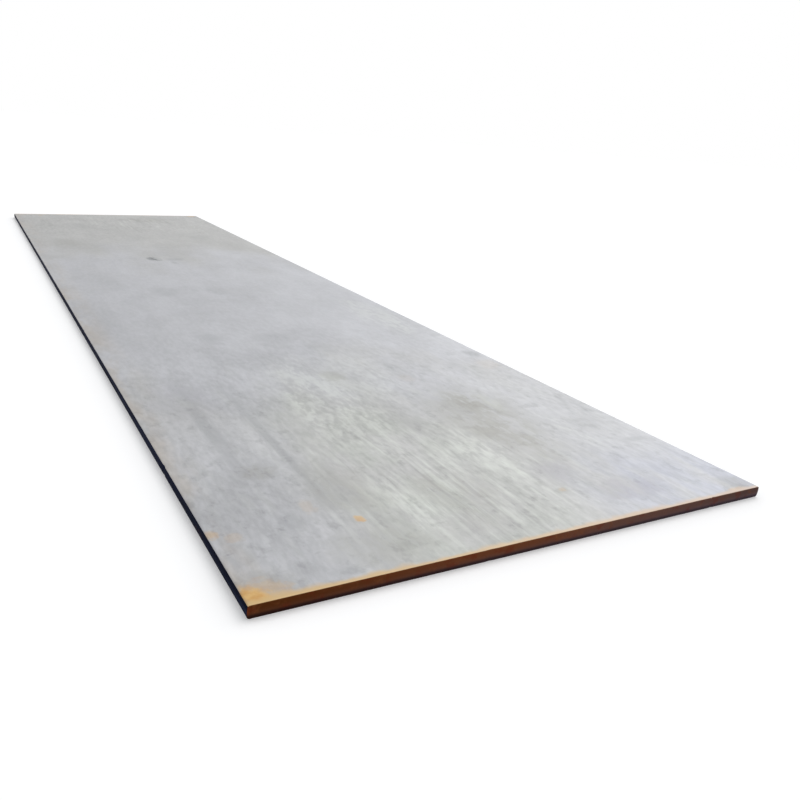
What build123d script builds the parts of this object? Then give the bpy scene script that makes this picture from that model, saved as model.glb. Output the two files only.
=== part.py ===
from build123d import *

import os

# Hot-rolled steel plate, one piece of flat stock cut to length from wide rolled strip.
# X runs across the plate, Y along the rolling direction and Z up.
# The origin is on the underside, at the plate's middle.

# Driving dimensions, in millimetres
plate_length = 6000.0  # between the two sheared ends
plate_width = 1500.0  # over the crowns of the two rolled edges
plate_thickness = 32.0
edge_crown = 2.0  # how far a rolled long edge swells out at half thickness
edge_shoulder_radius = 3.0  # round where a rolled edge runs into a face
rollover_radius = 2.0  # corner that the shear blade drags round as it enters, tighter than a shoulder
land_height = 10.0  # smooth upright band that the blade cuts before the steel tears
fracture_setback = 1.6  # how far the torn band leans back, at the face where the tear ends

# Where the outlines turn
half_length = plate_length / 2
half_width = plate_width / 2
face_half_width = half_width - edge_crown
blade_depth = rollover_radius + land_height

with BuildPart() as steel_plate:
    # Rolled strip, with flat faces and long edges that swell to a crown.
    # It runs well past both ends, as it does before it is sheared to length.
    with BuildSketch(Plane.XZ) as rolled_section:
        with BuildLine():
            underside = Line((-face_half_width, 0), (face_half_width, 0))
            right_edge = ThreePointArc(
                underside @ 1,
                (half_width, plate_thickness / 2),
                (face_half_width, plate_thickness),
            )
            top_face = Line(right_edge @ 1, (-face_half_width, plate_thickness))
            ThreePointArc(
                top_face @ 1,
                (-half_width, plate_thickness / 2),
                underside @ 0,
            )
        make_face()
        fillet(rolled_section.vertices(), edge_shoulder_radius)
    extrude(amount=plate_length, both=True)

    # Side outline with both sheared ends. The blade met the near end from above.
    # It met the far end from below, because one stroke cuts two plates apart.
    with BuildSketch(Plane.YZ) as sheared_outline:
        with BuildLine():
            Polyline(
                (-half_length, plate_thickness),
                (-half_length, plate_thickness - blade_depth),
                (-half_length + fracture_setback, 0),
                (half_length, 0),
                (half_length, blade_depth),
                (half_length - fracture_setback, plate_thickness),
                close=True,
            )
        make_face()
        near_corner = sheared_outline.vertices().group_by(Axis.X)[0].sort_by(Axis.Y)[-1]
        far_corner = sheared_outline.vertices().group_by(Axis.X)[-1].sort_by(Axis.Y)[0]
        fillet([near_corner, far_corner], rollover_radius)
    extrude(amount=plate_width, both=True, mode=Mode.INTERSECT)

steel_plate.part.label = "steel_plate"

os.makedirs("parts", exist_ok=True)
export_step(steel_plate.part, "parts/steel_plate.step")
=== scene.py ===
import math

import bmesh
import bpy
from mathutils import Matrix, Vector, noise


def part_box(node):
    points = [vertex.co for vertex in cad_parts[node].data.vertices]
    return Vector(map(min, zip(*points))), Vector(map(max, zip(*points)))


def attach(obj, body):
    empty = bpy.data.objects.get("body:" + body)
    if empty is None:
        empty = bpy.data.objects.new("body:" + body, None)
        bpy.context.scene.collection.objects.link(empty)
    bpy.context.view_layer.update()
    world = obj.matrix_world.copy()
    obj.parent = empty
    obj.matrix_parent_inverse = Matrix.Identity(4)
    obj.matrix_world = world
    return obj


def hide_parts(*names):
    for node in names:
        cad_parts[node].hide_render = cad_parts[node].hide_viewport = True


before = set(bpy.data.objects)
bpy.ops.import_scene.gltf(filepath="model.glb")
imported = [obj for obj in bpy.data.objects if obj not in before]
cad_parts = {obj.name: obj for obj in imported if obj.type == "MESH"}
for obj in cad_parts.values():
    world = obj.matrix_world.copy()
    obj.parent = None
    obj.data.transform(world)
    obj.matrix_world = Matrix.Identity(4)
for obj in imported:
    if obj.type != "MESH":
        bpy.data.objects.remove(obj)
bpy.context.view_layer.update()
plateLow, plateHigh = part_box("steel_plate")
plateSize = plateHigh - plateLow
halfWidth = plateSize.x / 2
halfLength = plateSize.y / 2
thickness = plateSize.z
print("frame loaded, plate", [round(side, 4) for side in plateSize])

midLevel = 0.5  # middle of a noise or a mask, which run from 0 to 1


# Small helpers for node trees. Each node is made after the nodes that feed it, which keeps
# the renderer's working memory for a long tree small.

def srgb(red, green, blue):
    # screen colour, 0 to 255, as the linear colour that a socket takes
    def linear(level):
        level = level / 255
        return level / 12.92 if level <= 0.04045 else ((level + 0.055) / 1.055) ** 2.4
    return (linear(red), linear(green), linear(blue), 1.0)


def feed(tree, socket, value):
    # a socket is linked, anything else is typed in
    if isinstance(value, bpy.types.NodeSocket):
        tree.links.new(value, socket)
    else:
        socket.default_value = value


def calc(tree, operation, first, second=0.0, third=0.0):
    node = tree.nodes.new("ShaderNodeMath")
    node.operation = operation
    for socket, value in zip(node.inputs, (first, second, third)):
        feed(tree, socket, value)
    return node.outputs[0]


def vectorSum(tree, first, second):
    node = tree.nodes.new("ShaderNodeVectorMath")
    for socket, value in zip(node.inputs, (first, second)):
        feed(tree, socket, value)
    return node.outputs["Vector"]


def mapped(tree, kind, place, location, scale):
    node = tree.nodes.new("ShaderNodeMapping")
    node.vector_type = kind
    for name, value in zip(("Vector", "Location", "Scale"), (place, location, scale)):
        feed(tree, node.inputs[name], value)
    return node.outputs[0]


def shaded(tree, colour, tone):
    # colour made lighter or darker by a factor
    node = tree.nodes.new("ShaderNodeHueSaturation")
    feed(tree, node.inputs["Color"], colour)
    feed(tree, node.inputs["Value"], tone)
    return node.outputs[0]


def cloudNoise(tree, place, scale, detail, roughness=0.5):
    node = tree.nodes.new("ShaderNodeTexNoise")
    for name, value in zip(("Vector", "Scale", "Detail", "Roughness"), (place, scale, detail, roughness)):
        feed(tree, node.inputs[name], value)
    return node.outputs[0]


def bumpNormal(tree, height, strength, distance):
    node = tree.nodes.new("ShaderNodeBump")
    for name, value in zip(("Height", "Strength", "Distance"), (height, strength, distance)):
        feed(tree, node.inputs[name], value)
    return node.outputs[0]


def fade(tree, value, start, end, low=0.0, high=1.0):
    # smooth step from low at start to high at end
    node = tree.nodes.new("ShaderNodeMapRange")
    node.interpolation_type = "SMOOTHSTEP"
    for name, number in zip(("Value", "From Min", "From Max", "To Min", "To Max"),
                            (value, start, end, low, high)):
        feed(tree, node.inputs[name], number)
    return node.outputs[0]


def blendColour(tree, factor, under, over):
    node = tree.nodes.new("ShaderNodeMix")
    node.data_type = "RGBA"
    # a Mix node has its colour sockets after those for numbers and vectors
    for number, value in zip((0, 6, 7), (factor, under, over)):
        feed(tree, node.inputs[number], value)
    return node.outputs[2]


def tinted(tree, mask, strength, under, over):
    # lays a colour over another where a mask is, at a strength
    return blendColour(tree, calc(tree, "MULTIPLY", mask, strength), under, over)


def colourRun(tree, factor, piece):
    # the colours of a piece's hueRun, one after the other
    node = tree.nodes.new("ShaderNodeValToRGB")
    node.color_ramp.interpolation = "EASE"
    elements = node.color_ramp.elements
    while len(elements) < len(piece["hueRun"]):
        elements.new(0.5)  # its own place is set below
    for element, (position, colour) in zip(elements, piece["hueRun"]):
        element.position = position
        element.color = piece[colour]
    feed(tree, node.inputs[0], factor)
    return node.outputs[0]


def useGroup(tree, group, **values):
    node = tree.nodes.new("ShaderNodeGroup")
    node.node_tree = group
    for name, value in values.items():
        feed(tree, node.inputs[name], value)
    return node.outputs


def newGroup(name, inputs, outputs):
    group = bpy.data.node_groups.new(name, "ShaderNodeTree")
    for label, kind in inputs:
        group.interface.new_socket(name=label, in_out="INPUT", socket_type="NodeSocket" + kind)
    for label, kind in outputs:
        group.interface.new_socket(name=label, in_out="OUTPUT", socket_type="NodeSocket" + kind)
    entry = group.nodes.new("NodeGroupInput").outputs
    leave = group.nodes.new("NodeGroupOutput").inputs
    return group, entry, leave


# Four effects that the finishes share. The first is noise pulled out along the rolling
# direction: short gives patches, long gives streaks.
drawnLook = {
    "swayScale": 9.0,  # how often a streak wavers from side to side
    "swayDetail": 2.0,
    "roughness": 0.6,
}


def makeDrawnNoise():
    group, entry, leave = newGroup(
        "Drawn Noise",
        [("Place", "Vector"), ("Width", "Float"), ("Length", "Float"), ("Seed", "Float"),
         ("Detail", "Float"), ("Warp", "Float"), ("Low", "Float"), ("High", "Float")],
        [("Mask", "Float")])
    axes = group.nodes.new("ShaderNodeSeparateXYZ")
    feed(group, axes.inputs[0], entry["Place"])
    waver = cloudNoise(group, entry["Place"], drawnLook["swayScale"], drawnLook["swayDetail"])
    sway = calc(group, "SUBTRACT", waver, midLevel)
    bent = calc(group, "MULTIPLY_ADD", sway, entry["Warp"], axes.outputs[0])
    drawnX = calc(group, "DIVIDE", bent, entry["Width"])
    drawnY = calc(group, "DIVIDE", axes.outputs[1], entry["Length"])
    drawnZ = calc(group, "ADD", calc(group, "DIVIDE", axes.outputs[2], entry["Width"]), entry["Seed"])
    joined = group.nodes.new("ShaderNodeCombineXYZ")
    for socket, value in zip(joined.inputs, (drawnX, drawnY, drawnZ)):
        feed(group, socket, value)
    cloud = cloudNoise(group, joined.outputs[0], 1.0, entry["Detail"], drawnLook["roughness"])
    feed(group, leave["Mask"], fade(group, cloud, entry["Low"], entry["High"]))
    return group


# One ragged spot at a chosen place
markLook = {
    "outline": 0.22,  # this times raggedScale is how often an outline wavers
    "raggedScale": 20.0,
    "raggedDetail": 5.0,
    "raggedRoughness": 0.6,
    "rim": 0.5,  # a ball is 1 in its middle, this at the mark's size and 0 at twice the size
    "core": 0.875,
}


def makeHandMark():
    group, entry, leave = newGroup(
        "Hand Mark",
        [("Place", "Vector"), ("Centre", "Vector"), ("Size", "Vector"), ("Ragged", "Float")],
        [("Mask", "Float")])
    doubled = vectorSum(group, entry["Size"], entry["Size"])
    local = mapped(group, "TEXTURE", entry["Place"], entry["Centre"], doubled)
    ball = group.nodes.new("ShaderNodeTexGradient")
    ball.gradient_type = "SPHERICAL"
    feed(group, ball.inputs["Vector"], local)
    own = mapped(group, "POINT", local, entry["Centre"], [markLook["outline"]] * 3)
    cloud = cloudNoise(group, own, markLook["raggedScale"], markLook["raggedDetail"],
                       markLook["raggedRoughness"])
    wobble = calc(group, "SUBTRACT", midLevel, cloud)
    amount = calc(group, "MULTIPLY", entry["Ragged"], markLook["rim"])
    ragged = calc(group, "MULTIPLY_ADD", wobble, amount, ball.outputs["Fac"])
    feed(group, leave["Mask"], fade(group, ragged, markLook["rim"], markLook["core"]))
    return group


# Breaks a plain reach of rust into grains, and tints it from pale to deep
bloomLook = {
    "detail": 5.0,
    "breakUp": 0.9,
    "breakFade": (0.25, 0.75),
    "tintScale": 0.8,
    "tintDetail": 3.0,
    "tintFade": (0.35, 0.65),
}


def makeRustBloom():
    group, entry, leave = newGroup(
        "Rust Bloom",
        [("Place", "Vector"), ("Reach", "Float"), ("Grain", "Float"), ("Pale", "Color"), ("Deep", "Color")],
        [("Colour", "Color"), ("Mask", "Float")])
    scale = calc(group, "DIVIDE", 1.0, entry["Grain"])
    grains = cloudNoise(group, entry["Place"], scale, bloomLook["detail"])
    wobble = calc(group, "SUBTRACT", grains, midLevel)
    broken = calc(group, "MULTIPLY_ADD", wobble, bloomLook["breakUp"], entry["Reach"])
    feed(group, leave["Mask"], fade(group, broken, *bloomLook["breakFade"]))
    tintScale = calc(group, "MULTIPLY", scale, bloomLook["tintScale"])
    tint = cloudNoise(group, entry["Place"], tintScale, bloomLook["tintDetail"])
    deep = fade(group, tint, *bloomLook["tintFade"])
    feed(group, leave["Colour"], blendColour(group, deep, entry["Pale"], entry["Deep"]))
    return group


# Fine speckle of the scale, for tone and for bump
grainLook = {
    "detail": 3.0,
    "pitScale": 0.4,  # pits for each speck
    "pitFade": (0.0, 0.35),
}


def makeSteelGrain():
    group, entry, leave = newGroup(
        "Steel Grain",
        [("Place", "Vector"), ("Size", "Float")],
        [("Speckle", "Float"), ("Height", "Float")])
    scale = calc(group, "DIVIDE", 1.0, entry["Size"])
    cloud = cloudNoise(group, entry["Place"], scale, grainLook["detail"])
    pitScale = calc(group, "MULTIPLY", scale, grainLook["pitScale"])
    pits = group.nodes.new("ShaderNodeTexVoronoi")
    feed(group, pits.inputs["Vector"], entry["Place"])
    feed(group, pits.inputs["Scale"], pitScale)
    dimple = fade(group, pits.outputs["Distance"], *grainLook["pitFade"])
    feed(group, leave["Speckle"], cloud)
    feed(group, leave["Height"], calc(group, "MULTIPLY", cloud, dimple))
    return group


drawnNoise = makeDrawnNoise()
handMark = makeHandMark()
rustBloom = makeRustBloom()
steelGrain = makeSteelGrain()
print("shared effects made")


def newFinish(name):
    # a material with its shader, its object coordinates and their three axes
    material = bpy.data.materials.new(name)
    material.use_nodes = True
    tree = material.node_tree
    shader = tree.nodes["Principled BSDF"]
    place = tree.nodes.new("ShaderNodeTexCoord").outputs["Object"]
    axes = tree.nodes.new("ShaderNodeSeparateXYZ")
    feed(tree, axes.inputs[0], place)
    return material, tree, shader, place, axes.outputs


def sideToSide(tree, axis, half):
    # 0 at one side of the plate and 1 at the other
    return calc(tree, "MULTIPLY_ADD", axis, 0.5 / half, 0.5)


def shiftTone(tree, tone, mask, amount):
    # tone goes up where the mask is over its middle and down where it is under
    return calc(tree, "MULTIPLY_ADD", calc(tree, "SUBTRACT", mask, midLevel), amount, tone)


def drawn(tree, place, width, length, seed, detail=3.0, low=0.3, high=0.7, warp=0.0):
    return useGroup(tree, drawnNoise, Place=place, Width=width, Length=length, Seed=seed, Detail=detail,
                    Warp=warp, Low=low, High=high)["Mask"]


def topMark(tree, place, x, y, wide, long, depth, ragged):
    return useGroup(tree, handMark, Place=place, Centre=(x, y, thickness), Size=(wide, long, depth),
                    Ragged=ragged)["Mask"]


# Mill scale on the two rolled faces, with a painted sheen. A pair of numbers says where a thing starts and
# where it is
# full: across the plate from 0 left to 1 right, along it from 0 far to 1 near.
face = {
    # colours along the plate, then the casts over them
    "far": srgb(167, 167, 166),
    "lilac": srgb(175, 176, 180),
    "near": srgb(172, 172, 171),
    "hueRun": [(0.0, "far"), (0.25, "far"), (0.45, "lilac"), (0.74, "lilac"), (0.88, "near"), (1.0, "near")],
    "hueDrift": 0.16,
    "drift": dict(width=0.5, length=1.1, seed=3.0),
    "castAlong": (0.74, 0.90),
    "green": srgb(169, 171, 167),
    "greenFromLeft": (0.14, 0.34),
    "greenFromRight": (0.68, 0.46),
    "greenPatches": dict(width=0.16, length=0.24, seed=61.0, detail=4.0, low=0.35, high=0.62),
    "lilacToLeft": (0.30, 0.12),
    "lilacToRight": (0.62, 0.86),
    "lilacStrength": 0.8,
    "blue": srgb(168, 170, 179),
    "blueAcross": (0.55, 0.82),
    "blueAlong": (0.925, 0.975),
    "bluePatches": dict(width=0.08, length=0.26, seed=67.0, detail=5.0, low=0.30, high=0.56),
    "warm": srgb(170, 165, 160),
    "warmAcross": (0.08, 0.0),
    "warmPatches": dict(width=0.12, length=0.40, seed=71.0, detail=4.0, low=0.40, high=0.65),
    # handling, most at the near end, less at the far one
    "handledNear": (0.60, 0.88),
    "handledFar": (0.36, 0.10),
    "handledFarMost": 0.8,
    # lighter and darker patterns, each with how far it shifts the tone
    # painted sheen: the faces made lighter towards the right in their colour, less so at the near end
    "paintedSheenAcross": 0.14,
    "paintedSheenEase": 0.5,  # share of it that goes at the near end
    "patches": dict(width=0.26, length=0.40, seed=11.0, detail=4.0),
    "patchTone": 0.12,
    "mottle": dict(width=0.07, length=0.19, seed=19.0, detail=5.0, low=0.25, high=0.75, warp=0.012),
    "mottleTone": 0.18,
    "mottleAway": 0.6,  # share that is left away from the handled ends
    "bands": dict(width=0.09, length=1.3, seed=23.0, detail=1.0),
    "bandTone": 0.04,
    "specks": dict(width=0.017, length=0.050, seed=29.0, detail=4.0, warp=0.005),
    "speckTone": 0.16,
    "speckAway": 0.5,
    "dashes": dict(width=0.040, length=0.022, seed=31.0, low=0.64, high=0.76),
    "dashTone": 0.12,
    "smudges": dict(width=0.040, length=0.058, seed=47.0, detail=4.0, low=0.54, high=0.68),
    "smudgeTone": 0.14,
    "grainSize": 0.008,
    "grainTone": 0.06,
    # pale streaks with dark gaps
    "pale": srgb(206, 210, 203),
    "streaks": dict(width=0.018, length=0.28, seed=37.0, detail=4.0, low=0.44, high=0.66, warp=0.008),
    "streakBreaks": dict(width=0.05, length=0.13, seed=41.0, detail=5.0, low=0.36, high=0.60),
    "streakStrength": 0.50,
    "streakEverywhere": 0.06,
    "streakHandled": 0.14,
    "gaps": dict(width=0.020, length=0.30, seed=43.0, detail=4.0, low=0.48, high=0.66, warp=0.006),
    "gapTone": 0.13,
    # each zone or mark on the top: x, y, half width, half length, strength
    "zoneDepth": 0.05,
    "zoneRagged": 0.7,
    "streakZones": [
        (-0.070, -2.620, 0.500, 0.540, 0.80),
        (0.140, 2.440, 0.480, 0.560, 0.50),
    ],
    "markDepth": 0.02,
    "stainRagged": 1.2,
    "stainMottle": 0.6,  # the mottle and the specks break a stain up, from least to most
    "stainSpecks": 0.4,
    "stainBreaks": (0.30, 0.64),  # levels of the two together
    "stainLeast": 0.3,
    "stainMost": 1.5,
    "dirt": srgb(92, 96, 98),
    "dirtMarks": [
        (-0.100, 0.795, 0.055, 0.100, 0.55),
        (0.020, 0.770, 0.090, 0.070, 0.16),
        (-0.010, 0.640, 0.030, 0.080, 0.15),
        (0.010, -0.200, 0.070, 0.120, 0.14),
        (-0.260, -0.170, 0.090, 0.160, 0.10),
        (-0.030, -1.160, 0.120, 0.110, 0.16),
        (-0.290, -1.130, 0.080, 0.140, 0.10),
        (0.700, -1.615, 0.050, 0.080, 0.24),
        (-0.570, -2.080, 0.036, 0.480, 0.18),
        (-0.428, -2.180, 0.026, 0.560, 0.16),
        (-0.555, -2.720, 0.050, 0.070, 0.12),
        (-0.515, -2.960, 0.055, 0.026, 0.20),
        (-0.340, -2.912, 0.060, 0.034, 0.14),
        (0.590, -2.430, 0.080, 0.090, 0.10),
        (0.665, -2.598, 0.070, 0.030, 0.15),
        (-0.360, 2.300, 0.110, 0.220, 0.12),
        (0.430, 1.720, 0.130, 0.240, 0.10),
        (0.160, 2.560, 0.030, 0.300, 0.14),
    ],
    "olive": srgb(120, 118, 104),
    "oliveMarks": [
        (0.000, -1.730, 0.075, 0.085, 0.22),
        (0.320, -2.310, 0.250, 0.480, 0.22),
        (0.290, -2.430, 0.150, 0.200, 0.07),
        (0.370, -2.120, 0.130, 0.200, 0.14),
        (0.620, -2.440, 0.120, 0.170, 0.08),
        (-0.130, -2.880, 0.130, 0.080, 0.08),
        (-0.690, -2.950, 0.090, 0.080, 0.22),
        (-0.535, -2.430, 0.075, 0.070, 0.20),
        (-0.100, -2.700, 0.180, 0.180, 0.16),
        (-0.360, -2.600, 0.130, 0.240, 0.17),
        (0.695, -2.955, 0.070, 0.060, 0.24),
        (0.184, -2.816, 0.034, 0.024, 0.16),
        (-0.400, -2.890, 0.180, 0.130, 0.16),
        (0.250, 2.700, 0.240, 0.200, 0.16),
        (-0.520, 1.480, 0.120, 0.180, 0.12),
    ],
    "mauve": srgb(126, 119, 132),
    "mauveMarks": [
        (0.235, -2.700, 0.090, 0.110, 0.14),
        (0.375, -2.870, 0.150, 0.090, 0.20),
        (0.030, -2.270, 0.060, 0.110, 0.14),
        (0.250, -1.830, 0.070, 0.090, 0.12),
        (-0.590, -1.850, 0.160, 0.260, 0.08),
    ],
    "paleMarks": [
        (0.130, -2.520, 0.110, 0.260, 0.24),
        (-0.240, -2.720, 0.100, 0.240, 0.20),
        (-0.245, -2.110, 0.045, 0.400, 0.20),
        (0.510, -2.480, 0.040, 0.220, 0.16),
        (0.410, -2.150, 0.040, 0.140, 0.18),
        (-0.150, -2.380, 0.090, 0.140, 0.12),
        (-0.120, -1.950, 0.170, 0.600, 0.22),
        (0.120, -1.760, 0.170, 0.440, 0.10),
        (0.620, -0.900, 0.130, 0.500, 0.18),
        (0.660, -2.300, 0.090, 0.420, 0.04),
        (-0.200, 2.520, 0.060, 0.420, 0.12),
        (0.540, 2.240, 0.040, 0.360, 0.16),
    ],
    "rustPale": srgb(203, 164, 98),
    "rustDeep": srgb(192, 146, 76),
    "rustGrain": 0.02,
    "rustRagged": 1.0,
    "rustMarks": [
        (-0.724, -2.984, 0.056, 0.076, 0.95),
        (-0.700, -2.966, 0.090, 0.080, 0.32),
        (0.665, -2.988, 0.060, 0.020, 0.40),
        (-0.394, -2.762, 0.024, 0.030, 0.62),
        (-0.738, -2.712, 0.026, 0.032, 0.36),
        (-0.694, -2.740, 0.040, 0.034, 0.15),
        (-0.486, -2.660, 0.030, 0.060, 0.12),
        (0.188, -2.812, 0.020, 0.018, 0.20),
        (0.260, -1.830, 0.050, 0.080, 0.05),
        (0.680, -1.760, 0.080, 0.110, 0.06),
        (0.690, 2.955, 0.060, 0.050, 0.45),
        (-0.560, 2.905, 0.030, 0.034, 0.30),
    ],
    # rust rim along the sheared ends
    "rimLeft": srgb(194, 164, 114),
    "rimRight": srgb(190, 173, 160),
    "rimWidth": 0.016,
    "rimLeast": 0.4,  # shares of that width, where the rim is narrowest and what its patches add
    "rimAdded": 1.5,
    "rimPatches": dict(width=0.09, length=0.09, seed=53.0, detail=5.0, low=0.2, high=0.8),
    "rimFade": (1.3, 0.2),  # shares of the rim's reach at each place
    "rimStrength": 0.95,
    "underside": srgb(118, 117, 116),
    "undersideStrength": 0.6,
    "topFrom": (0.3, 0.7),  # shares of the thickness
    "metallic": 0.30,
    "specular": 0.40,
    "roughness": 0.50,
    "roughnessVary": 0.12,
    "streakHeight": 0.6,
    "bump": 0.0003,
    "bumpStrength": 0.5,
}


def faceHue(tree, place, across, along):
    # neutral far off and near, lilac between, with green and blue casts near and a warm one on the left
    drift = drawn(tree, place, **face["drift"])
    run = calc(tree, "MULTIPLY_ADD", calc(tree, "SUBTRACT", drift, midLevel), face["hueDrift"], along)
    hue = colourRun(tree, run, face)
    close = fade(tree, along, *face["castAlong"])
    middle = calc(tree, "MULTIPLY", fade(tree, across, *face["greenFromLeft"]),
                  fade(tree, across, *face["greenFromRight"]))
    greenPatches = drawn(tree, place, **face["greenPatches"])
    hue = tinted(tree, calc(tree, "MULTIPLY", close, middle), greenPatches, hue, face["green"])
    sides = calc(tree, "ADD", fade(tree, across, *face["lilacToLeft"]),
                 fade(tree, across, *face["lilacToRight"]))
    hue = tinted(tree, calc(tree, "MULTIPLY", close, sides), face["lilacStrength"], hue, face["lilac"])
    bluePatches = drawn(tree, place, **face["bluePatches"])
    corner = calc(tree, "MULTIPLY", fade(tree, across, *face["blueAcross"]),
                  fade(tree, along, *face["blueAlong"]))
    hue = tinted(tree, corner, bluePatches, hue, face["blue"])
    warmPatches = drawn(tree, place, **face["warmPatches"])
    return tinted(tree, fade(tree, across, *face["warmAcross"]), warmPatches, hue, face["warm"])


def makeFaceFinish():
    material, tree, shader, place, axes = newFinish("mill scale face with painted sheen")
    across = sideToSide(tree, axes[0], halfWidth)  # 0 left, 1 right
    along = sideToSide(tree, axes[1], -halfLength)  # 0 far, 1 near
    close = fade(tree, along, *face["handledNear"])
    distant = fade(tree, along, *face["handledFar"], 0.0, face["handledFarMost"])
    handled = calc(tree, "MAXIMUM", close, distant)

    def easedTone(most, away):
        # full at the handled ends, a share of it elsewhere
        return calc(tree, "MULTIPLY_ADD", handled, (1 - away) * most, away * most)

    def darkened(tone, pattern, amount):
        return calc(tree, "MULTIPLY_ADD", calc(tree, "MULTIPLY", pattern, handled), -amount, tone)

    # tone: a little lighter to the right as a painted sheen, then patches, mottling, bands and small marks
    paintedSheenSlope = calc(tree, "MULTIPLY_ADD", close, -face["paintedSheenEase"] * face["paintedSheenAcross"], face["paintedSheenAcross"])
    tone = shiftTone(tree, 1.0, across, paintedSheenSlope)
    patches = drawn(tree, place, **face["patches"])
    tone = shiftTone(tree, tone, patches, face["patchTone"])
    mottle = drawn(tree, place, **face["mottle"])
    tone = shiftTone(tree, tone, mottle, easedTone(face["mottleTone"], face["mottleAway"]))
    bands = drawn(tree, place, **face["bands"])
    tone = shiftTone(tree, tone, bands, face["bandTone"])
    specks = drawn(tree, place, **face["specks"])
    tone = shiftTone(tree, tone, specks, easedTone(face["speckTone"], face["speckAway"]))
    tone = darkened(tone, drawn(tree, place, **face["dashes"]), face["dashTone"])
    tone = darkened(tone, drawn(tree, place, **face["smudges"]), face["smudgeTone"])
    grain = useGroup(tree, steelGrain, Place=place, Size=face["grainSize"])
    tone = shiftTone(tree, tone, grain["Speckle"], face["grainTone"])

    # streaks by rolling, thickest in the middle of each end
    zone = calc(tree, "MULTIPLY_ADD", handled, face["streakHandled"], face["streakEverywhere"])
    for x, y, wide, long, strength in face["streakZones"]:
        inZone = topMark(tree, place, x, y, wide, long, face["zoneDepth"], face["zoneRagged"])
        zone = calc(tree, "MULTIPLY_ADD", inZone, strength, zone)
    streaks = drawn(tree, place, **face["streaks"])
    breaks = drawn(tree, place, **face["streakBreaks"])
    streaks = calc(tree, "MULTIPLY", streaks, calc(tree, "MULTIPLY", breaks, zone))
    gaps = calc(tree, "MULTIPLY", drawn(tree, place, **face["gaps"]), zone)
    tone = calc(tree, "MULTIPLY_ADD", gaps, -face["gapTone"], tone)
    colour = shaded(tree, faceHue(tree, place, across, along), tone)
    colour = tinted(tree, streaks, face["streakStrength"], colour, face["pale"])

    # stains where they lie on the top, gathered by kind, then rust
    fineMarks = calc(tree, "MULTIPLY_ADD", specks, face["stainSpecks"],
                     calc(tree, "MULTIPLY", mottle, face["stainMottle"]))
    breakUp = fade(tree, fineMarks, *face["stainBreaks"], face["stainLeast"], face["stainMost"])
    for kind in ("dirt", "olive", "mauve", "pale"):
        stains = 0.0
        for x, y, wide, long, strength in face[kind + "Marks"]:
            stain = topMark(tree, place, x, y, wide, long, face["markDepth"], face["stainRagged"])
            stains = calc(tree, "MULTIPLY_ADD", stain, strength, stains)
        colour = tinted(tree, stains, breakUp, colour, face[kind])
    reach = 0.0
    rustStrength = 0.0
    for x, y, wide, long, strength in face["rustMarks"]:
        mark = topMark(tree, place, x, y, wide, long, face["markDepth"], face["rustRagged"])
        reach = calc(tree, "MAXIMUM", mark, reach)
        rustStrength = calc(tree, "MAXIMUM", calc(tree, "MULTIPLY", mark, strength), rustStrength)
    rust = useGroup(tree, rustBloom, Place=place, Reach=reach, Grain=face["rustGrain"],
                    Pale=face["rustPale"], Deep=face["rustDeep"])
    colour = tinted(tree, rust["Mask"], rustStrength, colour, rust["Colour"])

    # rust rim along the sheared ends
    fromEnd = calc(tree, "SUBTRACT", halfLength, calc(tree, "ABSOLUTE", axes[1]))
    rimPatches = drawn(tree, place, **face["rimPatches"])
    rimShare = calc(tree, "MULTIPLY_ADD", rimPatches, face["rimAdded"], face["rimLeast"])
    rimReach = calc(tree, "MULTIPLY", rimShare, face["rimWidth"])
    rim = fade(tree, calc(tree, "DIVIDE", fromEnd, rimReach), *face["rimFade"])
    rimColour = blendColour(tree, across, face["rimLeft"], face["rimRight"])
    colour = tinted(tree, rim, face["rimStrength"], colour, rimColour)

    # the underside stays darker
    topSide = fade(tree, axes[2], *[share * thickness for share in face["topFrom"]])
    below = calc(tree, "MULTIPLY_ADD", topSide, -face["undersideStrength"], face["undersideStrength"])
    colour = blendColour(tree, below, colour, face["underside"])
    feed(tree, shader.inputs["Base Color"], colour)
    feed(tree, shader.inputs["Metallic"], face["metallic"])
    feed(tree, shader.inputs["Specular IOR Level"], face["specular"])
    roughness = calc(tree, "MULTIPLY_ADD", mottle, face["roughnessVary"],
                     face["roughness"] - face["roughnessVary"] / 2)
    feed(tree, shader.inputs["Roughness"], roughness)
    height = calc(tree, "MULTIPLY_ADD", streaks, face["streakHeight"], grain["Height"])
    feed(tree, shader.inputs["Normal"], bumpNormal(tree, height, face["bumpStrength"], face["bump"]))
    return material


# Rust on the two sheared ends, with painted shade on their deep part and a painted highlight on their
# rollover
shear = {
    "left": srgb(84, 42, 12),
    "middle": srgb(110, 63, 38),
    "grey": srgb(102, 72, 62),
    "right": srgb(86, 64, 59),
    "hueRun": [(0.0, "left"), (0.40, "middle"), (0.72, "grey"), (1.0, "right")],
    # depths below the face that the blade entered, as shares of the thickness
    "tearLeft": srgb(100, 62, 42),
    "tearRight": srgb(106, 86, 90),
    "tearDepth": (0.30, 0.75),
    "tearStrength": 0.6,
    # painted shade, deepest on the part of each end farthest from the side that the blade entered
    "paintedShadeLeft": srgb(42, 22, 20),
    "paintedShadeRight": srgb(70, 60, 68),
    "paintedShadeDepth": (0.58, 0.84),
    "paintedShadeStrength": 0.9,
    "bright": srgb(132, 78, 42),
    "brightPatches": dict(width=0.05, length=0.05, seed=5.0, detail=4.0, low=0.4, high=0.7),
    "brightReach": 0.6,
    "brightGrain": 0.008,
    "brightStrength": 0.5,
    "red": srgb(106, 38, 18),
    "redPatches": dict(width=0.032, length=0.032, seed=13.0, detail=4.0, low=0.50, high=0.68),
    "redStrength": 0.45,
    # the rollover of each end: rust, made lighter still as a painted highlight
    "lip": srgb(150, 108, 68),
    "lipDepth": 0.0022,  # metres
    "lipStrength": 0.6,
    "specular": 0.05,
    "roughness": 0.75,
    "tearRoughness": 0.15,
    "grainSize": 0.003,
    "bump": 0.0008,
    "bumpStrength": 0.6,
}


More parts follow.
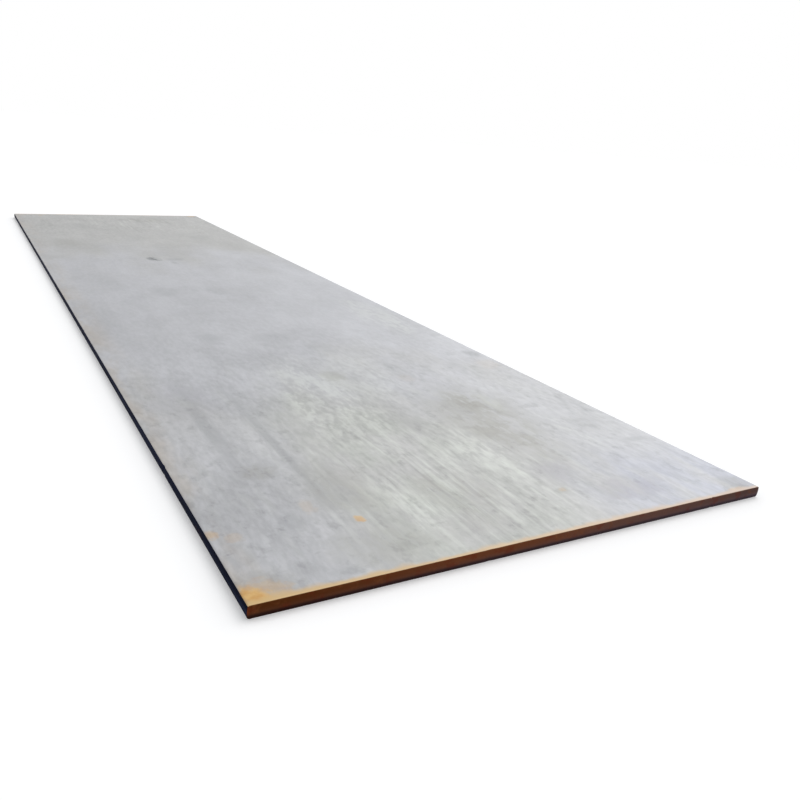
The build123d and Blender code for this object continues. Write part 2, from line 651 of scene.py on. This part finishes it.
def makeShearFinish():
    material, tree, shader, place, axes = newFinish("sheared end rust with painted shade and highlight")
    across = sideToSide(tree, axes[0], halfWidth)  # 0 left, 1 right
    colour = colourRun(tree, across, shear)
    # the blade came from above at the near end and from below at the far end
    nearEnd = calc(tree, "LESS_THAN", axes[1], 0.0)
    turned = calc(tree, "MULTIPLY_ADD", axes[2], -2.0, thickness)
    depth = calc(tree, "MULTIPLY_ADD", nearEnd, turned, axes[2])
    torn = fade(tree, depth, *[share * thickness for share in shear["tearDepth"]])
    tearColour = blendColour(tree, across, shear["tearLeft"], shear["tearRight"])
    colour = tinted(tree, torn, shear["tearStrength"], colour, tearColour)
    patches = drawn(tree, place, **shear["brightPatches"])
    reach = calc(tree, "MULTIPLY", patches, shear["brightReach"])
    bloom = useGroup(tree, rustBloom, Place=place, Reach=reach, Grain=shear["brightGrain"],
                     Pale=shear["bright"], Deep=shear["middle"])
    colour = tinted(tree, bloom["Mask"], shear["brightStrength"], colour, bloom["Colour"])
    reds = drawn(tree, place, **shear["redPatches"])
    colour = tinted(tree, reds, shear["redStrength"], colour, shear["red"])
    # rust and a painted highlight on the rollover of each end
    lip = fade(tree, depth, shear["lipDepth"], 0.0)
    colour = tinted(tree, lip, shear["lipStrength"], colour, shear["lip"])
    # painted shade over the deep part of each end
    paintedShade = fade(tree, depth, *[share * thickness for share in shear["paintedShadeDepth"]])
    paintedShadeColour = blendColour(tree, across, shear["paintedShadeLeft"], shear["paintedShadeRight"])
    colour = tinted(tree, paintedShade, shear["paintedShadeStrength"], colour, paintedShadeColour)
    feed(tree, shader.inputs["Base Color"], colour)
    feed(tree, shader.inputs["Specular IOR Level"], shear["specular"])
    feed(tree, shader.inputs["Roughness"],
         calc(tree, "MULTIPLY_ADD", torn, shear["tearRoughness"], shear["roughness"]))
    grain = useGroup(tree, steelGrain, Place=place, Size=shear["grainSize"])
    feed(tree, shader.inputs["Normal"],
         bumpNormal(tree, grain["Height"], shear["bumpStrength"], shear["bump"]))
    return material


# Blue-black scale on the two rolled long edges, darkened further as painted shade
edge = {
    # dark and blue: the scale's colours, darkened as painted shade
    "dark": srgb(4, 10, 30),
    "blue": srgb(12, 23, 52),
    "sheen": dict(width=0.012, length=0.45, seed=7.0, low=0.35, high=0.7),
    "worn": srgb(44, 54, 78),
    "wear": dict(width=0.006, length=0.10, seed=17.0, detail=4.0, low=0.58, high=0.75),
    "wearStrength": 0.30,
    "rust": srgb(70, 46, 32),
    "rustPatches": dict(width=0.10, length=0.25, seed=29.0, low=0.55, high=0.75),
    "rustReach": 0.7,
    "rustGrain": 0.01,
    "rustStrength": 0.4,
    "specular": 0.02,
    "roughness": 0.70,
    "sheenRoughness": -0.1,
    "grainSize": 0.004,
    "wearHeight": 0.5,
    "bump": 0.0006,
    "bumpStrength": 0.5,
}


def makeEdgeFinish():
    material, tree, shader, place, _ = newFinish("rolled edge scale and painted shade")
    sheen = drawn(tree, place, **edge["sheen"])
    # blue-black scale, partly painted shade
    colour = blendColour(tree, sheen, edge["dark"], edge["blue"])
    wear = drawn(tree, place, **edge["wear"])
    colour = tinted(tree, wear, edge["wearStrength"], colour, edge["worn"])
    patches = drawn(tree, place, **edge["rustPatches"])
    reach = calc(tree, "MULTIPLY", patches, edge["rustReach"])
    bloom = useGroup(tree, rustBloom, Place=place, Reach=reach, Grain=edge["rustGrain"],
                     Pale=edge["rust"], Deep=shear["middle"])
    colour = tinted(tree, bloom["Mask"], edge["rustStrength"], colour, bloom["Colour"])
    feed(tree, shader.inputs["Base Color"], colour)
    feed(tree, shader.inputs["Specular IOR Level"], edge["specular"])
    feed(tree, shader.inputs["Roughness"],
         calc(tree, "MULTIPLY_ADD", sheen, edge["sheenRoughness"], edge["roughness"]))
    grain = useGroup(tree, steelGrain, Place=place, Size=edge["grainSize"])
    height = calc(tree, "MULTIPLY_ADD", wear, edge["wearHeight"], grain["Height"])
    feed(tree, shader.inputs["Normal"], bumpNormal(tree, height, edge["bumpStrength"], edge["bump"]))
    return material


finishes = {"face": makeFaceFinish(), "shear": makeShearFinish(), "edge": makeEdgeFinish()}
finishNumber = {name: number for number, name in enumerate(finishes)}
print("finishes made:", [finish.name for finish in finishes.values()])


# The plate itself
plate = {
    "columns": 60,
    "rows": 200,
    "layers": 16,
    "crowding": 0.9,  # how far columns, rows and layers draw together towards the outside
    "bandWidth": 0.012,  # strip along each end and edge that is divided again
    "bandCuts": 4,
    "straight": 0.999,  # an edge whose direction is past this share of an axis runs along it
    "touching": 1e-6,  # a point closer to an end than this is on it
    # profiles of the rolled edges and the sheared ends, as in the solid
    "edgeCrown": 0.0020,
    "shoulderRadius": 0.0030,
    "rolloverRadius": 0.0020,
    "landHeight": 0.0100,
    "tearSetback": 0.0016,
    "cornerRadius": 0.003,
    # unevenness: how deep it is, and its waves in a metre
    "wornStrip": 0.02,  # width of the strip that it fades out over
    "edgeWander": 0.0009,
    "edgeWaves": 3.1,
    "lapShare": 0.4,  # part of the edge's wander that differs from layer to layer
    "lapWaves": 14.0,
    "lapLayers": 160.0,
    "endWander": 0.0004,
    "endWaves": 5.0,
    "tearRoughness": 0.0007,
    "tearGrain": 0.006,
    "tearStretch": 0.6,
    "flatnessDip": 0.0008,
    "dipAcross": 1.1,
    "dipAlong": 0.8,
    "edgeSeeds": {"left": (9.0, 2.0), "right": (4.0, 7.0)},  # wander, laps
    "endSeeds": {"near": (3.0, 5.0), "far": (8.0, 6.0)},  # wander, tear
    "endSlice": 1.5,  # where the ends' wander cuts through its noise
    "dipSeeds": {"top": 0.0, "underside": 9.0},
    # side, place along it, half length and depth of each handling nick
    "nicks": [
        ("left", -2.310, 0.014, 0.0016), ("left", -0.870, 0.020, 0.0012), ("left", 1.640, 0.016, 0.0018),
        ("right", -1.520, 0.018, 0.0016), ("right", 0.420, 0.012, 0.0012), ("right", 2.230, 0.022, 0.0018),
        ("near", -0.180, 0.012, 0.0010), ("near", 0.560, 0.010, 0.0014), ("far", 0.090, 0.014, 0.0012),
    ],
    "sharpAngle": math.radians(42),
    "faceTilt": 0.6,  # a normal more upright than this belongs to the top or the underside
    # each side's finish, and its place on the map that the finishes are baked to: the axes that it
    # follows and the run of each, turned round where the side would lie mirrored
    "sides": {
        "top": {"finish": "face", "axes": (0, 1), "runs": ((0.002, 0.646), (0.002, 0.998))},
        "underside": {"finish": "face", "axes": (0, 1), "runs": ((0.848, 0.652), (0.002, 0.998))},
        "left": {"finish": "edge", "axes": (2, 1), "runs": ((0.854, 0.893), (0.002, 0.998))},
        "right": {"finish": "edge", "axes": (2, 1), "runs": ((0.938, 0.899), (0.002, 0.998))},
        "near": {"finish": "shear", "axes": (2, 0), "runs": ((0.998, 0.944), (0.002, 0.498))},
        "far": {"finish": "shear", "axes": (2, 0), "runs": ((0.944, 0.998), (0.502, 0.998))},
    },
}


def runsAlong(e, axis):
    return abs((e.verts[1].co - e.verts[0].co).normalized()[axis]) > plate["straight"]


def divideAlong(bm, axis, cuts):
    edges = [e for e in bm.edges if runsAlong(e, axis)]
    bmesh.ops.subdivide_edges(bm, edges=edges, cuts=cuts, use_grid_fill=True)


def crowd(value, half):
    # even stations drawn towards both ends of -half to half
    share = value / half
    return half * ((1 - plate["crowding"]) * share + plate["crowding"] * math.sin(share * math.pi / 2))


def divideBand(bm, axis, beside, edgeAt):
    # edges along one axis that lie in the strip next to the outside of the other
    start = edgeAt - plate["bandWidth"]
    edges = [e for e in bm.edges if runsAlong(e, axis) and min(abs(v.co[beside]) for v in e.verts) > start]
    bmesh.ops.subdivide_edges(bm, edges=edges, cuts=plate["bandCuts"], use_grid_fill=True)


def roundOff(depth, radius):
    # how far a rounded corner has drawn back at this depth below its face
    if depth >= radius:
        return 0.0
    return radius - math.sqrt(max(radius ** 2 - (radius - depth) ** 2, 0.0))


def rolledInset(z):
    lean = 2 * z / thickness - 1
    return plate["edgeCrown"] * lean ** 2 + roundOff(min(z, thickness - z), plate["shoulderRadius"])


def tornDepth(depth):
    # how far a point lies past the blade's cut, in the torn band
    return depth - plate["rolloverRadius"] - plate["landHeight"]


def shearInset(depth):
    torn = tornDepth(depth)
    if torn > 0:
        return plate["tearSetback"] * torn / tornDepth(thickness)
    return roundOff(depth, plate["rolloverRadius"])


def ripple(x, y, z):
    # noise from 0 to 1
    return 0.5 + 0.5 * noise.noise(Vector((x, y, z)))


def nickDepth(side, along):
    depth = 0.0
    for nickSide, middle, half, deepest in plate["nicks"]:
        if nickSide == side and abs(along - middle) < half:
            depth += deepest * math.cos((along - middle) / half * math.pi / 2) ** 2
    return depth


def edgeWear(side, y, z):
    # wander of a long edge, with laps that differ from layer to layer, then its nicks
    wanderSeed, lapSeed = plate["edgeSeeds"][side]
    slow = ripple(wanderSeed, y * plate["edgeWaves"], 0.0)
    laps = ripple(y * plate["lapWaves"], z * plate["lapLayers"], lapSeed)
    wander = plate["edgeWander"] * ((1 - plate["lapShare"]) * slow + plate["lapShare"] * laps)
    return wander + nickDepth(side, y)


def endWear(side, x, z, tears):
    # wander of a sheared end and its nicks, then the torn band's roughness
    wanderSeed, tearSeed = plate["endSeeds"][side]
    shift = plate["endWander"] * ripple(x * plate["endWaves"], plate["endSlice"], wanderSeed)
    shift += nickDepth(side, x)
    if tears:
        grain = 1 / plate["tearGrain"]
        shift += plate["tearRoughness"] * ripple(x * grain, z * grain * plate["tearStretch"], tearSeed)
    return shift


def shapeVertex(co):
    x, y, z = co
    fromEdge = halfWidth - abs(x)
    fromEnd = halfLength - abs(y)
    nearEdge = max(0.0, 1 - fromEdge / plate["wornStrip"])
    nearEnd = max(0.0, 1 - fromEnd / plate["wornStrip"])
    depth = thickness - z if y < 0 else z
    # rolled and sheared profiles draw each layer in
    inX = rolledInset(z)
    inY = shearInset(depth)
    newX = x * (1 - inX / halfWidth)
    newY = y * (1 - inY / halfLength)
    newX -= math.copysign(nearEdge * edgeWear("left" if x < 0 else "right", y, z), x)
    tears = fromEnd < plate["touching"] and tornDepth(depth) > 0  # on the end itself, past the blade's cut
    newY -= math.copysign(nearEnd * endWear("near" if y < 0 else "far", x, z, tears), y)
    # slow dips of the faces, always into the plate
    dipSeed = plate["dipSeeds"]["top" if z > thickness / 2 else "underside"]
    dip = plate["flatnessDip"] * ripple(x * plate["dipAcross"], y * plate["dipAlong"], dipSeed)
    newZ = z + dip * (1 - 2 * z / thickness)
    # corners blunted in plan
    radius = plate["cornerRadius"]
    overX = abs(newX) - (halfWidth - inX - radius)
    overY = abs(newY) - (halfLength - inY - radius)
    if overX > 0 and overY > 0:
        reach = math.hypot(overX, overY)
        if reach > radius:
            newX -= math.copysign(overX * (1 - radius / reach), newX)
            newY -= math.copysign(overY * (1 - radius / reach), newY)
    return Vector((newX, newY, newZ))


def sideFacing(normal):
    if abs(normal.z) > plate["faceTilt"]:
        return "top" if normal.z > 0 else "underside"
    if abs(normal.y) > abs(normal.x):
        return "near" if normal.y < 0 else "far"
    return "left" if normal.x < 0 else "right"


def dressFace(f, bakeMap):
    side = plate["sides"][sideFacing(f.normal)]
    f.smooth = True
    f.material_index = finishNumber[side["finish"]]
    for corner in f.loops:
        mapPlace = []
        for axis, (start, end) in zip(side["axes"], side["runs"]):
            share = (corner.vert.co[axis] - plateLow[axis]) / plateSize[axis]
            mapPlace.append(start + share * (end - start))
        corner[bakeMap].uv = mapPlace


def makePlate():
    bm = bmesh.new()
    bmesh.ops.create_cube(bm, size=1.0, matrix=Matrix.LocRotScale(
        (plateLow + plateHigh) / 2, None, plateSize))
    divideAlong(bm, 2, plate["layers"] - 1)
    divideAlong(bm, 0, plate["columns"] - 1)
    divideAlong(bm, 1, plate["rows"] - 1)
    middle = thickness / 2
    for v in bm.verts:
        v.co = Vector((crowd(v.co.x, halfWidth), crowd(v.co.y, halfLength),
                       middle + crowd(v.co.z - middle, middle)))
    divideBand(bm, 0, 1, halfLength)
    divideBand(bm, 1, 0, halfWidth)
    for v in bm.verts:
        v.co = shapeVertex(v.co)
    bmesh.ops.triangulate(bm, faces=[f for f in bm.faces if len(f.verts) > 4])
    bmesh.ops.recalc_face_normals(bm, faces=bm.faces)
    bm.normal_update()
    bakeMap = bm.loops.layers.uv.new("OFBake")
    for f in bm.faces:
        dressFace(f, bakeMap)
    for e in bm.edges:
        e.smooth = e.calc_face_angle(0.0) < plate["sharpAngle"]
    mesh = bpy.data.meshes.new("hot_rolled_plate")
    bm.to_mesh(mesh)
    bm.free()
    for finish in finishes.values():
        mesh.materials.append(finish)
    piece = bpy.data.objects.new("hot_rolled_plate", mesh)
    bpy.context.scene.collection.objects.link(piece)
    return piece


plateObject = makePlate()
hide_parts("steel_plate")
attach(plateObject, "root")
plateTriangles = sum(len(polygon.vertices) - 2 for polygon in plateObject.data.polygons)
print("plate made,", plateTriangles, "triangles")


# Floor and light
studio = {
    "floorRadius": 70.0,
    "floorSides": 96,
    "floorDrop": 0.0002,
    "floorColour": (0.86, 0.86, 0.86, 1.0),
    "floorLift": 0.22,  # added to the floor as it is seen or mirrored, so that it looks white
    "backdrop": (1.0, 1.0, 1.0, 1.0),
    "backdropStrength": 1.0,
    "ambient": (0.97, 0.98, 1.0, 1.0),
    "ambientStrength": 0.58,
    # each soft lamp: strength, spread, height above the floor and side that it stands on
    # in degrees, the side turning from +Y towards +X
    "lamps": {
        "soft key": (1.05, 45.0, 60.0, 60.0),
        "low sheen": (0.80, 60.0, 18.0, 62.0),
    },
}


def seenDirectly(tree):
    # 1 for what the camera sees itself or in a mirror or through glass
    path = tree.nodes.new("ShaderNodeLightPath")
    mirrored = calc(tree, "MAXIMUM", path.outputs["Is Glossy Ray"], path.outputs["Is Transmission Ray"])
    return calc(tree, "MAXIMUM", path.outputs["Is Camera Ray"], mirrored)


def makeFloor():
    bm = bmesh.new()
    bmesh.ops.create_circle(bm, cap_ends=True, segments=studio["floorSides"], radius=studio["floorRadius"],
                            matrix=Matrix.Translation((0, 0, plateLow.z - studio["floorDrop"])))
    mesh = bpy.data.meshes.new("floor")
    bm.to_mesh(mesh)
    bm.free()
    material = bpy.data.materials.new("pale floor")
    material.use_nodes = True
    tree = material.node_tree
    tree.nodes.remove(tree.nodes["Principled BSDF"])
    matt = tree.nodes.new("ShaderNodeBsdfDiffuse")
    matt.inputs["Color"].default_value = studio["floorColour"]
    glow = tree.nodes.new("ShaderNodeEmission")
    feed(tree, glow.inputs["Strength"], calc(tree, "MULTIPLY", seenDirectly(tree), studio["floorLift"]))
    both = tree.nodes.new("ShaderNodeAddShader")
    feed(tree, both.inputs[0], matt.outputs[0])
    feed(tree, both.inputs[1], glow.outputs[0])
    feed(tree, tree.nodes["Material Output"].inputs["Surface"], both.outputs[0])
    mesh.materials.append(material)
    floor = bpy.data.objects.new("floor", mesh)
    bpy.context.scene.collection.objects.link(floor)


def makeWorld():
    world = bpy.data.worlds.new("studio")
    world.use_nodes = True
    tree = world.node_tree
    fill = tree.nodes["Background"]
    fill.inputs["Color"].default_value = studio["ambient"]
    fill.inputs["Strength"].default_value = studio["ambientStrength"]
    white = tree.nodes.new("ShaderNodeBackground")
    white.inputs["Color"].default_value = studio["backdrop"]
    white.inputs["Strength"].default_value = studio["backdropStrength"]
    choose = tree.nodes.new("ShaderNodeMixShader")
    feed(tree, choose.inputs[0], seenDirectly(tree))
    feed(tree, choose.inputs[1], fill.outputs[0])
    feed(tree, choose.inputs[2], white.outputs[0])
    feed(tree, tree.nodes["World Output"].inputs["Surface"], choose.outputs[0])
    bpy.context.scene.world = world


def makeLamps():
    for name, (strength, spread, height, side) in studio["lamps"].items():
        lamp = bpy.data.lights.new(name, "SUN")
        lamp.energy = strength
        lamp.angle = math.radians(spread)
        sun = bpy.data.objects.new(name, lamp)
        bpy.context.scene.collection.objects.link(sun)
        sun.rotation_euler = (math.radians(90 - height), 0, math.radians(180 - side))


# Where the photograph was taken from
viewpoint = {
    "place": (-1.1583, -4.2225, 0.9112),
    "heading": 30.22,  # degrees from +Y towards +X
    "pitch": 19.20,  # degrees below level
    "roll": 4.33,
    "lens": 34.88,
    "sensor": 36.0,
    "clipEnd": 300.0,
}


def makeCamera():
    lens = bpy.data.cameras.new("photo view")
    lens.sensor_width = viewpoint["sensor"]
    lens.lens = viewpoint["lens"]
    lens.clip_end = viewpoint["clipEnd"]
    camera = bpy.data.objects.new("photo view", lens)
    bpy.context.scene.collection.objects.link(camera)
    turn = Matrix.Rotation(math.radians(-viewpoint["heading"]), 4, "Z")
    tilt = Matrix.Rotation(math.radians(90 - viewpoint["pitch"]), 4, "X")
    lean = Matrix.Rotation(math.radians(viewpoint["roll"]), 4, "Z")
    camera.matrix_world = Matrix.Translation(viewpoint["place"]) @ turn @ tilt @ lean
    bpy.context.scene.camera = camera


makeFloor()
makeWorld()
makeLamps()
makeCamera()
bpy.context.scene.view_settings.view_transform = "Standard"
print("floor, light and camera set")
